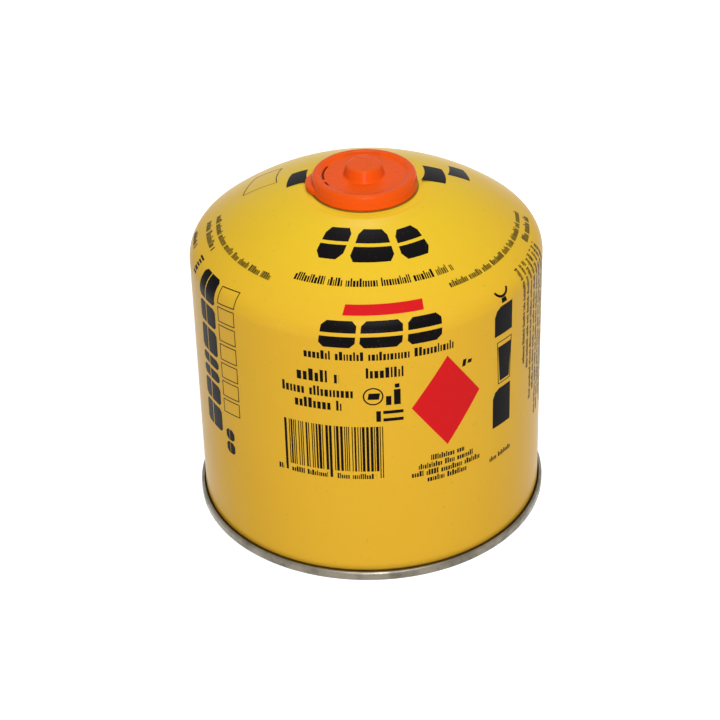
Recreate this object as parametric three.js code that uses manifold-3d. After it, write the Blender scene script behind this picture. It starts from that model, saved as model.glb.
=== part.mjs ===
import * as THREE from "three";
import { mergeVertices } from "three/addons/utils/BufferGeometryUtils.js";
import Module from "manifold-3d";

// A screw-valve fuel canister with its cap on, standing on its seam. Millimetres, +Z up,
// the origin on the axis at the foot of the seam, and the front towards -Y.

// Facets round the axis, in multiples of four
const bodyFacets = 56;
const capFacets = 48;
const valveFacets = 28;

// Clearances
const seatGap = 0.3; // between pieces that are set or folded together
const crimpGap = 0.2; // between the neck's bead and the cup crimped over it

// Can body, drawn from one steel blank
const bodyRadius = 55;
const bodySheet = 0.4;
const wallTop = 87.4; // where the straight wall turns into the shoulder
const knuckleRadius = 8.1;
const crownRise = 24.46; // from the wall's top to where the crown's arc would meet the axis
const ringWidth = 3.4; // the slope of the low ring round the neck
const ringRise = 0.75;
const ringRounding = 6;
const landWidth = 6.65; // the flat between that ring and the neck
const neckRadius = 12.7; // half of a one-inch opening
const beadRadius = 0.85; // the curl at the top of the neck
const beadLift = 1.4; // the curl's centre above the flat

// Base end, pressed from tinplate and seamed to the body
const endSheet = 0.4;
const seamHeight = 3.2;
const seamHook = 1.24; // the folds outside the wall
const seamCrest = 1; // the folds under the wall
const seamRounding = 0.8;
const ledgeHeight = 4.6; // the flat ledge inside the seam
const ledgeWidth = 5.9;
const ledgeCorner = 1.5;
const dishDepth = 6.9; // the concave dish above the ledge
const dishBlend = 1; // each side of the dish's edge

// Valve cup, crimped over the neck
const cupSheet = 0.4;
const cupDepth = 7.4; // from the top of the curl to the floor
const cupCorner = 1;
const curlTuck = 50; // degrees that the curl runs on below its middle, outside
const pedestalRadius = 5.55; // over the crests of a 7/16 inch thread
const pedestalRise = 0.9; // above the top of the curl
const pedestalRoot = 0.8;
const pedestalNose = 1.6;
const boreRadius = 2.4;

// Valve core and seal, inside the pedestal
const sealThickness = 0.8;
const sealBore = 1.6;
const stemRadius = 1.2;
const stemRise = 0.7;
const stemSocket = 0.5; // takes the pin of a stove

// Cap, moulded in one piece
const skirtWall = 1.1;
const skirtDraft = 0.5; // how far the skirt leans in
const rimWidth = 1.9;
const rimRise = 0.8; // above the deck
const rimRounding = 1.1;
const rimSlope = 1.4; // width of the soft slope from the rim to the deck
const deckThickness = 1;
const bossFootWall = 0.55; // between the thread's room and the foot of the boss
const bossDraft = 1.1;
const bossRise = 3.7; // above the deck
const bossFillet = 0.9;
const bossRounding = 0.7;
const bossWall = 0.9;
const snapReach = 0.4; // the ridge that catches under the curl
const snapLip = 0.1;
const snapHeight = 0.9;

// Pull tab on the skirt, and the small cuts in the top of the cap
const tabAzimuth = -90; // degrees from the front, towards +X
const tabReach = 1.7; // beyond the foot of the skirt
const tabRadius = 8;
const tabHeight = 2;
const tabBevel = 0.45;
const slotWidth = 0.5;
const slots = [
  { from: -118, to: -77 },
  { from: -71, to: -59 },
];
const notchAzimuth = 121;
const notchLength = 2.1;
const notchWidth = 0.8;
const notchDepth = 0.4;

// Radii and heights that follow, those of the body from the foot of the seam
const shoulderRadius = bodyRadius - knuckleRadius;
const crownRadius =
  (shoulderRadius ** 2 + crownRise ** 2 - knuckleRadius ** 2) / (2 * (crownRise - knuckleRadius));
const crownCentre = wallTop + crownRise - crownRadius;
const curlCentre = neckRadius + beadRadius;
const ringEdge = curlCentre + landWidth;
const crownEdge = ringEdge + ringWidth;
const crownEdgeHeight = crownCentre + Math.sqrt(crownRadius ** 2 - crownEdge ** 2);
const neckHeight = crownEdgeHeight + ringRise;
const hookRadius = bodyRadius + seatGap;
const seamRadius = hookRadius + seamHook;
const chuckRadius = bodyRadius - bodySheet - seatGap - endSheet;

// Those of the valve and the cap, from the flat round the neck
const curlRadius = beadRadius + crimpGap + cupSheet;
const curlTop = beadLift + curlRadius;
const wellRadius = neckRadius - crimpGap - cupSheet;
const cupFloor = curlTop - cupDepth;
const wellFloor = cupFloor - cupSheet - seatGap;
const pedestalTop = curlTop + pedestalRise;
const coreRadius = pedestalRadius - cupSheet - seatGap;
const sealRadius = pedestalRadius - pedestalNose;
const sealTop = pedestalTop - cupSheet - seatGap;
const coreTop = sealTop - sealThickness - seatGap;
const skirtFoot = seatGap;
const skirtBore = curlCentre + curlRadius + seatGap;
const capRadius = skirtBore + skirtWall;
const deckUnder = curlTop + seatGap;
const deckTop = deckUnder + deckThickness;
const rimTop = deckTop + rimRise;
const rimInner = capRadius - skirtDraft - rimWidth;
const slotRadius = rimInner - rimSlope;
const bossTop = deckTop + bossRise;
const mouthRadius = pedestalRadius + seatGap;
const bossRadius = mouthRadius + bossFootWall;

const at = (r, z) => new THREE.Vector2(r, z);
const radians = THREE.MathUtils.degToRad;
const degrees = THREE.MathUtils.radToDeg;

// Points of an arc, with its angles in degrees from the plane's first axis.
function arc(r, z, radius, from, to, steps) {
  return Array.from({ length: steps + 1 }, (_, i) => {
    const turn = radians(from + ((to - from) * i) / steps);
    return at(r + radius * Math.cos(turn), z + radius * Math.sin(turn));
  });
}

// A line through corners, each [r, z] or [r, z, rounding, steps].
function rounded(corners) {
  return corners.flatMap(([r, z, rounding, steps], i) => {
    const corner = at(r, z);
    if (!rounding) return [corner];
    const back = at(...corners[i - 1]).sub(corner).normalize();
    const ahead = at(...corners[i + 1]).sub(corner).normalize();
    const half = Math.acos(back.dot(ahead)) / 2;
    const inward = back.clone().add(ahead).normalize();
    const centre = corner.clone().addScaledVector(inward, rounding / Math.sin(half));
    const start = corner.clone().addScaledVector(back, rounding / Math.tan(half)).sub(centre);
    const end = corner.clone().addScaledVector(ahead, rounding / Math.tan(half)).sub(centre);
    const swing = Math.atan2(start.cross(end), start.dot(end));
    return Array.from({ length: steps + 1 }, (_, k) =>
      start.clone().rotateAround(at(0, 0), (swing * k) / steps).add(centre),
    );
  });
}

// The line moved to its left. A point on the axis stays on the axis.
function offset(line, distance) {
  const heading = line.slice(1).map((point, i) => point.clone().sub(line[i]).normalize());
  return line.map((point, i) => {
    const into = heading[Math.max(i - 1, 0)];
    const out = heading[Math.min(i, heading.length - 1)];
    const left = at(-into.y - out.y, into.x + out.x).normalize();
    const miter = distance / (left.y * into.x - left.x * into.y);
    const moved = point.clone().addScaledVector(left, miter);
    return point.x === 0 ? at(0, moved.y) : moved;
  });
}

// A profile turned about +Z. It runs anticlockwise, with r to the right and z up.
function revolve(profile, facets) {
  return new THREE.LatheGeometry(profile, facets).rotateX(Math.PI / 2);
}

// The underside of the base end, from the axis out and down to a height inside the seam.
function endUnderside(bottom) {
  const dishRadius = chuckRadius - ledgeWidth;
  const sphere = (dishRadius ** 2 + dishDepth ** 2) / (2 * dishDepth);
  const apex = ledgeHeight + dishDepth;
  const edge = degrees(Math.acos((dishRadius - dishBlend) / sphere));
  return [
    at(0, apex),
    ...arc(0, apex - sphere, sphere, 90, edge, 3).slice(1),
    ...rounded([
      [dishRadius + dishBlend, ledgeHeight],
      [chuckRadius, ledgeHeight, ledgeCorner, 2],
      [chuckRadius, bottom],
    ]),
  ];
}

// The vessel is sealed, so it is solid between its outer skin and the pieces that close it.
function bodyProfile() {
  const shoulder = degrees(Math.atan2(wallTop - crownCentre, shoulderRadius));
  const crownEnd = degrees(Math.acos(crownEdge / crownRadius));
  const foot = seamCrest + seatGap;
  const beadHeight = neckHeight + beadLift;
  return [
    ...offset(endUnderside(foot), endSheet + seatGap),
    at(bodyRadius, foot),
    ...arc(shoulderRadius, wallTop, knuckleRadius, 0, shoulder, 6),
    ...arc(0, crownCentre, crownRadius, shoulder, crownEnd, 6).slice(1),
    ...rounded([
      [crownEdge, crownEdgeHeight],
      [ringEdge, neckHeight, ringRounding, 2],
      [curlCentre, neckHeight],
    ]).slice(1),
    ...arc(curlCentre, beadHeight, beadRadius, -90, 180, 6),
    at(neckRadius, neckHeight + wellFloor),
    at(0, neckHeight + wellFloor),
  ];
}

function baseEndProfile() {
  const seam = rounded([
    [chuckRadius, ledgeHeight],
    [chuckRadius, 0, seamRounding, 2],
    [seamRadius, 0, seamRounding, 2],
    [seamRadius, seamHeight, seamRounding, 2],
    [hookRadius, seamHeight],
    [hookRadius, seamCrest],
  ]);
  return [
    ...endUnderside(seamRounding).slice(0, -1),
    ...seam.slice(1),
    ...offset(endUnderside(seamCrest), endSheet).reverse(),
  ];
}

function valveCupProfile() {
  const outside = [
    ...arc(curlCentre, beadLift, curlRadius, -curlTuck, 180, 7),
    ...rounded([
      [wellRadius, beadLift],
      [wellRadius, cupFloor, cupCorner, 2],
      [pedestalRadius, cupFloor, pedestalRoot, 2],
      [pedestalRadius, pedestalTop, pedestalNose, 3],
      [boreRadius, pedestalTop],
    ]).slice(1),
  ];
  const inside = offset(outside, cupSheet);
  return [...outside, ...inside.reverse(), outside[0]];
}

function valveSealProfile() {
  const under = sealTop - sealThickness;
  return [
    at(sealBore, under),
    at(sealRadius, under),
    at(sealRadius, sealTop),
    at(sealBore, sealTop),
    at(sealBore, under),
  ];
}

function valveCoreProfile() {
  const foot = wellFloor + seatGap;
  const stemTop = coreTop + stemRise;
  return [
    at(0, foot),
    at(coreRadius, foot),
    at(coreRadius, coreTop),
    at(stemRadius, coreTop),
    at(stemRadius, stemTop),
    at(stemRadius / 2, stemTop),
    at(0, stemTop - stemSocket),
  ];
}

function capProfile() {
  const ridge = skirtBore - snapReach;
  const bossEnd = bossRadius - bossDraft;
  return rounded([
    [0, bossTop - bossWall],
    [bossEnd - bossWall, bossTop - bossWall],
    [mouthRadius, deckUnder],
    [skirtBore, deckUnder],
    [skirtBore, skirtFoot + snapHeight],
    [ridge, skirtFoot + snapLip],
    [ridge, skirtFoot],
    [capRadius, skirtFoot],
    [capRadius - skirtDraft, rimTop, rimRounding, 4],
    [rimInner, rimTop, rimWidth / 2, 1],
    [slotRadius, deckTop, rimWidth / 2, 1],
    [bossRadius, deckTop, bossFillet, 2],
    [bossEnd, bossTop, bossRounding, 3],
    [0, bossTop],
  ]);
}

// A flat outline drawn along +X, raised to a height and turned to an azimuth from the front.
function raised(outline, azimuth, bottom, settings) {
  const geometry = new THREE.ExtrudeGeometry(outline, settings);
  geometry.translate(0, 0, bottom);
  return geometry.rotateZ(radians(azimuth - 90));
}

// The tab's plan is the edge of a disc that grows out of the skirt.
function tabGeometry() {
  const centre = capRadius + tabReach - tabRadius;
  const root = skirtBore + seatGap / 3;
  const x = (root ** 2 + centre ** 2 - tabRadius ** 2) / (2 * centre);
  const y = Math.sqrt(root ** 2 - x ** 2);
  const outer = degrees(Math.atan2(y, x - centre));
  const inner = degrees(Math.atan2(y, x));
  const plan = new THREE.Shape([
    ...arc(centre, 0, tabRadius, -outer, outer, 12),
    ...arc(0, 0, root, inner, -inner, 6).slice(1, -1),
  ]);
  return raised(plan, tabAzimuth, skirtFoot + tabBevel, {
    depth: tabHeight - 2 * tabBevel,
    bevelThickness: tabBevel,
    bevelSize: tabBevel,
    bevelOffset: -tabBevel,
    bevelSegments: 2,
  });
}

// A narrow arc along the foot of the rim's slope, cut half way into the deck.
function slotGeometry({ from, to }) {
  const half = (to - from) / 2;
  const steps = Math.ceil(half / 4);
  const plan = new THREE.Shape([
    ...arc(0, 0, slotRadius + slotWidth / 2, -half, half, steps),
    ...arc(0, 0, slotRadius - slotWidth / 2, half, -half, steps),
  ]);
  return raised(plan, from + half, deckTop - deckThickness / 2, {
    depth: deckThickness + rimRise,
    bevelEnabled: false,
  });
}

function notchGeometry() {
  const start = rimInner - notchLength / 2;
  const half = notchWidth / 2;
  const plan = new THREE.Shape([
    at(start, -half),
    at(start + notchLength, -half),
    at(start + notchLength, half),
    at(start, half),
  ]);
  return raised(plan, notchAzimuth, rimTop - notchDepth, {
    depth: deckThickness,
    bevelEnabled: false,
  });
}

const wasm = await Module();
wasm.setup();

function solidFrom(geometry) {
  const bare = geometry.clone();
  bare.deleteAttribute("normal");
  bare.deleteAttribute("uv");
  const merged = mergeVertices(bare, 1e-3);
  const vertProperties = merged.attributes.position.array;
  const triVerts = new Uint32Array(merged.index.array);
  return new wasm.Manifold(new wasm.Mesh({ numProp: 3, vertProperties, triVerts }));
}

function geometryFrom(solid) {
  const { vertProperties, triVerts } = solid.getMesh();
  const geometry = new THREE.BufferGeometry();
  geometry.setAttribute("position", new THREE.BufferAttribute(vertProperties, 3));
  geometry.setIndex(new THREE.BufferAttribute(triVerts, 1));
  geometry.computeVertexNormals();
  return geometry;
}

function capGeometry() {
  const cuts = [...slots.map(slotGeometry), notchGeometry()];
  const shell = solidFrom(revolve(capProfile(), capFacets)).add(solidFrom(tabGeometry()));
  return geometryFrom(cuts.reduce((body, cut) => body.subtract(solidFrom(cut)), shell));
}

const paint = { color: 0xe6b93a, roughness: 0.35, metalness: 0.1 };
const tinplate = { color: 0xb9b5b0, roughness: 0.32, metalness: 0.9 };
const darkRubber = { color: 0x1c1c1c, roughness: 0.8, metalness: 0 };
const palePlastic = { color: 0xd9d6cc, roughness: 0.5, metalness: 0 };
const orangePlastic = { color: 0xeb5a19, roughness: 0.45, metalness: 0 };

function place(parent, name, geometry, look) {
  const mesh = new THREE.Mesh(geometry, new THREE.MeshStandardMaterial(look));
  mesh.name = name;
  parent.add(mesh);
}

const group = new THREE.Group();
place(group, "can_body", revolve(bodyProfile(), bodyFacets), paint);
place(group, "base_end", revolve(baseEndProfile(), bodyFacets), tinplate);

const neck = new THREE.Group();
neck.position.z = neckHeight;
group.add(neck);
place(neck, "valve_cup", revolve(valveCupProfile(), valveFacets), tinplate);
place(neck, "valve_seal", revolve(valveSealProfile(), valveFacets), darkRubber);
place(neck, "valve_core", revolve(valveCoreProfile(), valveFacets), palePlastic);
place(neck, "cap", capGeometry(), orangePlastic);

export default group;
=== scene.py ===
import math
import random

import bmesh
import bpy
from mathutils import Matrix, Vector


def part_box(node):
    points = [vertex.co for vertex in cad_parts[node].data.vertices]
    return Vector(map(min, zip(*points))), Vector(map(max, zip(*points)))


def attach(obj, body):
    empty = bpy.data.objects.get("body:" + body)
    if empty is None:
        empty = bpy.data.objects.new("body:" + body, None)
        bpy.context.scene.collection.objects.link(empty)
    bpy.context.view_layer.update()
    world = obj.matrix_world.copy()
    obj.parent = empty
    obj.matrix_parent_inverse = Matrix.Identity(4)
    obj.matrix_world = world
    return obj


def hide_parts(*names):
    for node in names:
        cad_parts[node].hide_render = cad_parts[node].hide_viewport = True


# A screw-valve fuel canister with its cap on. Metres, the front towards -Y.

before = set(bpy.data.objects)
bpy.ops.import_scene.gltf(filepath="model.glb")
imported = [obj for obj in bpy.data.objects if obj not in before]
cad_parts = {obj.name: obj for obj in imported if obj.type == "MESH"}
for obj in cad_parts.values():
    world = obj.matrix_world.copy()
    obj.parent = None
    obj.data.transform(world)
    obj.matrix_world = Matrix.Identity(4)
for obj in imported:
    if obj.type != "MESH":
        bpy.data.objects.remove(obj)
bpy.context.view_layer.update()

mm = 0.001


def addObject(name, data):
    item = bpy.data.objects.new(name, data)
    bpy.context.scene.collection.objects.link(item)
    return item


# Camera

cameraView = {
    "elevation": 32.178,
    "distance": 696.2 * mm,
    "aimHeight": 60 * mm,
    "focalLength": 109.13,
    "yaw": -0.231,
    "pitch": -0.989,
    "roll": -1.464,
    "sensorWidth": 36,
    "clipStart": 10 * mm,
}


def swing(first, second, degrees):
    # Turns two axes towards each other in their own plane
    c, s = math.cos(math.radians(degrees)), math.sin(math.radians(degrees))
    return first * c + second * s, second * c - first * s


def setCamera(view):
    tilt = math.radians(view["elevation"])
    ahead, right = Vector((0, math.cos(tilt), -math.sin(tilt))), Vector((1, 0, 0))
    place = Vector((0, 0, view["aimHeight"])) - ahead * view["distance"]
    up = right.cross(ahead)
    ahead, right = swing(ahead, right, view["yaw"])
    ahead, up = swing(ahead, up, view["pitch"])
    right, up = swing(right, up, view["roll"])
    data = bpy.data.cameras.new("camera")
    data.lens = view["focalLength"]
    data.sensor_width = view["sensorWidth"]
    data.clip_start = view["clipStart"]
    camera = addObject("camera", data)
    turn = Matrix((right, up, -ahead)).transposed().to_4x4()
    camera.matrix_world = Matrix.Translation(place) @ turn
    bpy.context.scene.camera = camera


# Nodes

class Wire:
    # One output of a node. An operator on it adds a Math node.
    def __init__(self, maker, socket):
        self.maker = maker
        self.socket = socket

    def math(self, operation, *others):
        values = dict(enumerate((self,) + others))
        return self.maker.add("ShaderNodeMath", values, operation=operation)

    def __add__(self, other):
        return self.math("ADD", other)

    def __sub__(self, other):
        return self.math("SUBTRACT", other)

    def __rsub__(self, other):
        return self.maker.add("ShaderNodeMath", {0: other, 1: self}, operation="SUBTRACT")

    def __mul__(self, other):
        return self.math("MULTIPLY", other)

    def __truediv__(self, other):
        return self.math("DIVIDE", other)

    def clamped(self):
        return self.maker.add("ShaderNodeClamp", {"Value": self})

    __radd__ = __add__
    __rmul__ = __mul__


class NodeMaker:
    def __init__(self, tree):
        self.tree = tree

    def add(self, kind, sockets=None, output=0, **settings):
        node = self.tree.nodes.new(kind)
        for name, value in settings.items():
            setattr(node, name, value)
        for name, value in (sockets or {}).items():
            self.feed(node.inputs[name], value)
        return Wire(self, node.outputs[output]) if len(node.outputs) else None

    def feed(self, socket, value):
        if isinstance(value, Wire):
            self.tree.links.new(value.socket, socket)
        else:
            socket.default_value = value

    def split(self, vector):
        node = self.tree.nodes.new("ShaderNodeSeparateXYZ")
        self.feed(node.inputs["Vector"], vector)
        return [Wire(self, part) for part in node.outputs]

    def mix(self, factor, first, second):
        sockets = {0: factor, 6: first, 7: second}
        return self.add("ShaderNodeMix", sockets, output=2, data_type="RGBA")

    def noise(self, vector, scale, detail=2.0, roughness=0.5):
        sockets = {"Vector": vector, "Scale": scale, "Detail": detail, "Roughness": roughness}
        return self.add("ShaderNodeTexNoise", sockets)

    def ramp(self, factor, low, high):
        # Black up to low, white from high on
        node = self.tree.nodes.new("ShaderNodeValToRGB")
        for element, spot in zip(node.color_ramp.elements, (low, high)):
            element.position = spot
        self.feed(node.inputs["Fac"], factor)
        return Wire(self, node.outputs["Color"])


def colour(*values):
    return (*values, 1)


def emptyNodes(owner):
    owner.use_nodes = True
    owner.node_tree.nodes.clear()
    return NodeMaker(owner.node_tree)


def newMaterial(name):
    material = bpy.data.materials.new(name)
    return material, emptyNodes(material)


def finishMaterial(maker, look, base, rougher, bumps, metallic=0.0):
    # bumps is a list of (height, strength, distance), laid one on another
    normal = None
    for height, strength, distance in bumps:
        sockets = {"Height": height, "Strength": strength, "Distance": distance}
        if normal:
            sockets["Normal"] = normal
        normal = maker.add("ShaderNodeBump", sockets)
    sockets = {
        "Base Color": base,
        "Metallic": metallic,
        "Roughness": look["roughness"] + rougher,
        "Specular IOR Level": look["specular"],
        "Normal": normal,
    }
    shader = maker.add("ShaderNodeBsdfPrincipled", sockets)
    maker.add("ShaderNodeOutputMaterial", {"Surface": shader})


def objectPosition(maker):
    return maker.add("ShaderNodeTexCoord", output="Object")


def aroundAxis(maker):
    # Object position, turns about the can's axis, distance from it and height
    position = objectPosition(maker)
    x, y, height = maker.split(position)
    turn = x.math("ARCTAN2", y * -1) * (0.5 / math.pi)
    reach = (x * x + y * y).math("SQRT")
    return position, turn, reach, height


def stretched(maker, parts, path):
    # A noise vector that has its own scale round the can, up it and out from it
    scaled = {axis: part * scale for axis, part, scale in zip("XYZ", parts, path)}
    return maker.add("ShaderNodeCombineXYZ", scaled)


# Finishes. A bump is a strength and a distance. A path is the noise scale round, up and out.

paintLook = {
    "colour": colour(0.78, 0.455, 0.032),
    "deepColour": colour(0.68, 0.34, 0.014),
    # crown: the paint with painted light, paler where the light falls brighter on the dome
    "crown": colour(0.86, 0.585, 0.028),
    "worn": colour(0.84, 0.60, 0.20),
    # grime: the dark of the flecks, and also the painted shade in the crease and the painted shadow
    # round the cap
    "grime": colour(0.09, 0.05, 0.018),
    "roughness": 0.27,
    "specular": 0.06,
    "crownLightFade": 20 * mm,
    "patchScale": 26,
    "patchShare": 0.22,
    "patchRough": 0.06,
    "rubScale": 160,
    "rubHeight": 2.5 * mm,
    "rubBand": 4.5 * mm,
    "rubShare": 0.12,
    "rubRough": 0.2,
    "creaseShadeWidth": 0.35 * mm,
    "creaseShadeShare": 0.45,
    "soilScale": 90,
    "soilShare": 0.6,
    "capShadowWidth": 0.55 * mm,
    "capShadowGain": 1.4,
    "capShadowShare": 0.8,
    "fleckScale": 700,
    "fleckShare": 0.10,
    "scuffPath": (340, 260, 60),
    "scuffRough": 0.08,
    "scuffBump": (0.05, 0.01 * mm),
    "peelScale": 900,
    "peelBump": (0.12, 0.02 * mm),
    "waveScale": 34,
    "waveBump": (0.35, 0.6 * mm),
}
inkLook = {
    "black": colour(0.004, 0.003, 0.0035),
    "red": colour(0.66, 0.012, 0.015),
    "roughness": 0.3,
    "specular": 0.035,
    "patchScale": 120,
    "patchRough": 0.08,
    "thinScale": 1500,
    "thinShare": 0.10,
}
tinLook = {
    "colour": colour(0.25, 0.23, 0.19),
    "dull": colour(0.085, 0.077, 0.062),
    "grime": colour(0.035, 0.028, 0.02),
    "roughness": 0.26,
    "specular": 0.5,
    "linePath": (30, 4200, 4200),
    "lineShare": 0.25,
    "lineRough": 0.12,
    "lineBump": (0.2, 0.02 * mm),
    "patchScale": 130,
    "patchShare": 0.7,
    "patchRough": 0.14,
    "patchBump": (0.1, 0.05 * mm),
    "spotScale": 620,
    "spotShare": 0.6,
    "spotCover": 0.5,
}
capLook = {
    "colour": colour(0.85, 0.092, 0.003),
    "pale": colour(0.86, 0.15, 0.02),
    "shade": colour(0.13, 0.010, 0.002),
    "roughness": 0.24,
    "specular": 0.07,
    "patchScale": 150,
    "patchShare": 0.10,
    "patchRough": 0.08,
    "grainScale": 2600,
    "grainBump": (0.15, 0.02 * mm),
    "markPath": (60, 900, 900),
    "markShare": 0.15,
    "markRough": 0.1,
    "markBump": (0.1, 0.015 * mm),
    # The slot and foot sizes place the painted shade in the slots and the painted shadow under the
    # skirt
    "slotShadeReach": 0.7 * mm,
    "slotShadeTop": 0.06 * mm,
    "slotShadeFade": 0.15 * mm,
    "footShadowEdge": 0.2 * mm,
    "footShadowFade": 0.4 * mm,
    "footShadowShare": 0.8,
}
hiddenLook = {
    "deepening": 0.6,
    "specular": 0.5,
    "patchScale": 400,
    "patchShare": 0.2,
    "patchRough": 0.1,
    "grainScale": 3000,
    "grainBump": (0.2, 0.02 * mm),
}


def sheetBumps(maker, position, look):
    # The drawn sheet is never quite true and its lacquer has a fine grain. Print follows both.
    wave = maker.noise(position, look["waveScale"], detail=1.0)
    peel = maker.noise(position, look["peelScale"], detail=1.0)
    return [(wave, *look["waveBump"]), (peel, *look["peelBump"])]


def paintMaterial(look):
    material, maker = newMaterial("yellowPaint")
    position, turn, reach, height = aroundAxis(maker)
    overWall = height - bodySizes["wallTop"]
    patches = maker.noise(position, look["patchScale"], detail=3.0)

    # Painted light: the crown is painted paler and more lemon than the wall, as the light falls
    # brighter on it
    crownLightShare = (overWall / look["crownLightFade"]).clamped()
    field = maker.mix(crownLightShare, look["colour"], look["crown"])
    base = maker.mix(patches * look["patchShare"], field, look["deepColour"])

    # Rubbed patches on the shoulder's turn, where cans knock together
    shoulder = 1 - ((overWall - look["rubHeight"]) / look["rubBand"]).math("ABSOLUTE")
    rub = maker.ramp(maker.noise(position, look["rubScale"], detail=6.0, roughness=0.7), 0.58, 0.70)
    rubbed = (shoulder.clamped() * rub * look["rubShare"]).clamped()
    base = maker.mix(rubbed, base, look["worn"])

    # Painted shade in the crease over the seam, made patchy by soil, a painted shadow round the cap's
    # foot, and a few dark flecks of dirt
    crease = (1 - (height - endSizes["seamHeight"]) / look["creaseShadeWidth"]).clamped()
    soil = maker.noise(position, look["soilScale"], detail=4.0)
    creaseShadeAndSoil = (crease * (look["creaseShadeShare"] + soil * look["soilShare"])).clamped()
    # Painted shadow: the paint darkens in a ring just outside the cap's skirt
    capShadowLine = 1 - ((reach - place["capRadius"]) / look["capShadowWidth"]).math("ABSOLUTE")
    capShadow = (capShadowLine.clamped() * look["capShadowGain"]).clamped() * look["capShadowShare"]
    fleck = maker.ramp(maker.noise(position, look["fleckScale"], detail=1.0), 0.70, 0.78)
    for share in (creaseShadeAndSoil, capShadow, fleck * look["fleckShare"]):
        base = maker.mix(share, base, look["grime"])

    hair = stretched(maker, (turn, height, reach), look["scuffPath"])
    scuffs = maker.ramp(maker.noise(hair, 1.0, detail=5.0, roughness=0.65), 0.60, 0.72)
    rougher = patches * look["patchRough"] + scuffs * look["scuffRough"] + rubbed * look["rubRough"]
    bumps = sheetBumps(maker, position, look) + [(scuffs, *look["scuffBump"])]
    finishMaterial(maker, look, base, rougher, bumps)
    return material


def inkMaterial(name, shade, look):
    material, maker = newMaterial(name)
    position = objectPosition(maker)
    patches = maker.noise(position, look["patchScale"], detail=3.0)
    thin = maker.ramp(maker.noise(position, look["thinScale"]), 0.66, 0.80)
    base = maker.mix(thin * look["thinShare"], shade, paintLook["deepColour"])
    bumps = sheetBumps(maker, position, paintLook)
    finishMaterial(maker, look, base, patches * look["patchRough"], bumps)
    return material


def tinMaterial(name, look):
    material, maker = newMaterial(name)
    position, turn, reach, height = aroundAxis(maker)
    # Drawing lines run round the piece
    path = stretched(maker, (turn, height, reach), look["linePath"])
    lines = maker.noise(path, 1.0, detail=4.0, roughness=0.6)
    patches = maker.noise(position, look["patchScale"], detail=5.0, roughness=0.6)
    dulled = maker.ramp(patches, 0.42, 0.66)
    spots = maker.ramp(maker.noise(position, look["spotScale"], detail=3.0), 0.66, 0.72)
    base = maker.mix(dulled * look["patchShare"], look["colour"], look["dull"])
    base = maker.mix(lines * look["lineShare"], base, look["dull"])
    base = maker.mix(spots * look["spotShare"], base, look["grime"])
    rougher = lines * look["lineRough"] + dulled * look["patchRough"]
    bumps = [(lines, *look["lineBump"]), (patches, *look["patchBump"])]
    finishMaterial(maker, look, base, rougher, bumps, metallic=1 - spots * look["spotCover"])
    return material


def capMaterial(look):
    material, maker = newMaterial("orangePlastic")
    position, turn, reach, height = aroundAxis(maker)
    patches = maker.noise(position, look["patchScale"], detail=3.0)
    grain = maker.noise(position, look["grainScale"])
    path = stretched(maker, (turn, height, reach), look["markPath"])
    marks = maker.ramp(maker.noise(path, 1.0, detail=5.0, roughness=0.7), 0.62, 0.72)
    fading = (marks * look["markShare"] + patches * look["patchShare"]).clamped()
    base = maker.mix(fading, look["colour"], look["pale"])

    # Painted shade in the slots and a painted shadow along the foot of the skirt
    slotShadeBand = (1 - ((reach - place["slotRadius"]) / look["slotShadeReach"]).math("ABSOLUTE")).clamped() * 2
    slotShadeDepth = ((place["deckTop"] - look["slotShadeTop"] - height) / look["slotShadeFade"]).clamped()
    outside = ((reach - place["skirtBore"]) / look["footShadowEdge"]).clamped()
    low = (1 - (height - place["skirtFoot"]) / look["footShadowFade"]).clamped() * outside
    base = maker.mix((slotShadeBand * slotShadeDepth + low * look["footShadowShare"]).clamped(), base, look["shade"])
    rougher = patches * look["patchRough"] + marks * look["markRough"]
    bumps = [(grain, *look["grainBump"]), (marks, *look["markBump"])]
    finishMaterial(maker, look, base, rougher, bumps)
    return material


def plainMaterial(name, shade, roughness):
    # For the seal and the valve core, which the cap hides
    look = {**hiddenLook, "roughness": roughness}
    material, maker = newMaterial(name)
    position = objectPosition(maker)
    patches = maker.noise(position, look["patchScale"], detail=4.0)
    grain = maker.noise(position, look["grainScale"])
    deep = colour(*(look["deepening"] * part for part in shade))
    base = maker.mix(patches * look["patchShare"], colour(*shade), deep)
    bumps = [(grain, *look["grainBump"])]
    finishMaterial(maker, look, base, patches * look["patchRough"], bumps)
    return material


# Outlines of the turned pieces, in (distance from the axis, height)

def arcLine(r, z, radius, start, end, steps):
    turns = [math.radians(start + (end - start) * i / steps) for i in range(steps + 1)]
    return [Vector((r + radius * math.cos(a), z + radius * math.sin(a))) for a in turns]


def straight(start, end, steps):
    return [start.lerp(end, i / steps) for i in range(steps + 1)]


def roundedLine(corners, steps=8):
    # Corners are (r, z) or (r, z, rounding)
    line = []
    for i, corner in enumerate(corners):
        point = Vector(corner[:2])
        if len(corner) == 2:
            line.append(point)
            continue
        back = (Vector(corners[i - 1][:2]) - point).normalized()
        ahead = (Vector(corners[i + 1][:2]) - point).normalized()
        half = back.angle(ahead) / 2
        centre = point + (back + ahead).normalized() * corner[2] / math.sin(half)
        start = point + back * corner[2] / math.tan(half) - centre
        end = point + ahead * corner[2] / math.tan(half) - centre
        sweep = math.atan2(start.x * end.y - start.y * end.x, start.dot(end))
        line += [Matrix.Rotation(sweep * k / steps, 2) @ start + centre for k in range(steps + 1)]
    return line


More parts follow.
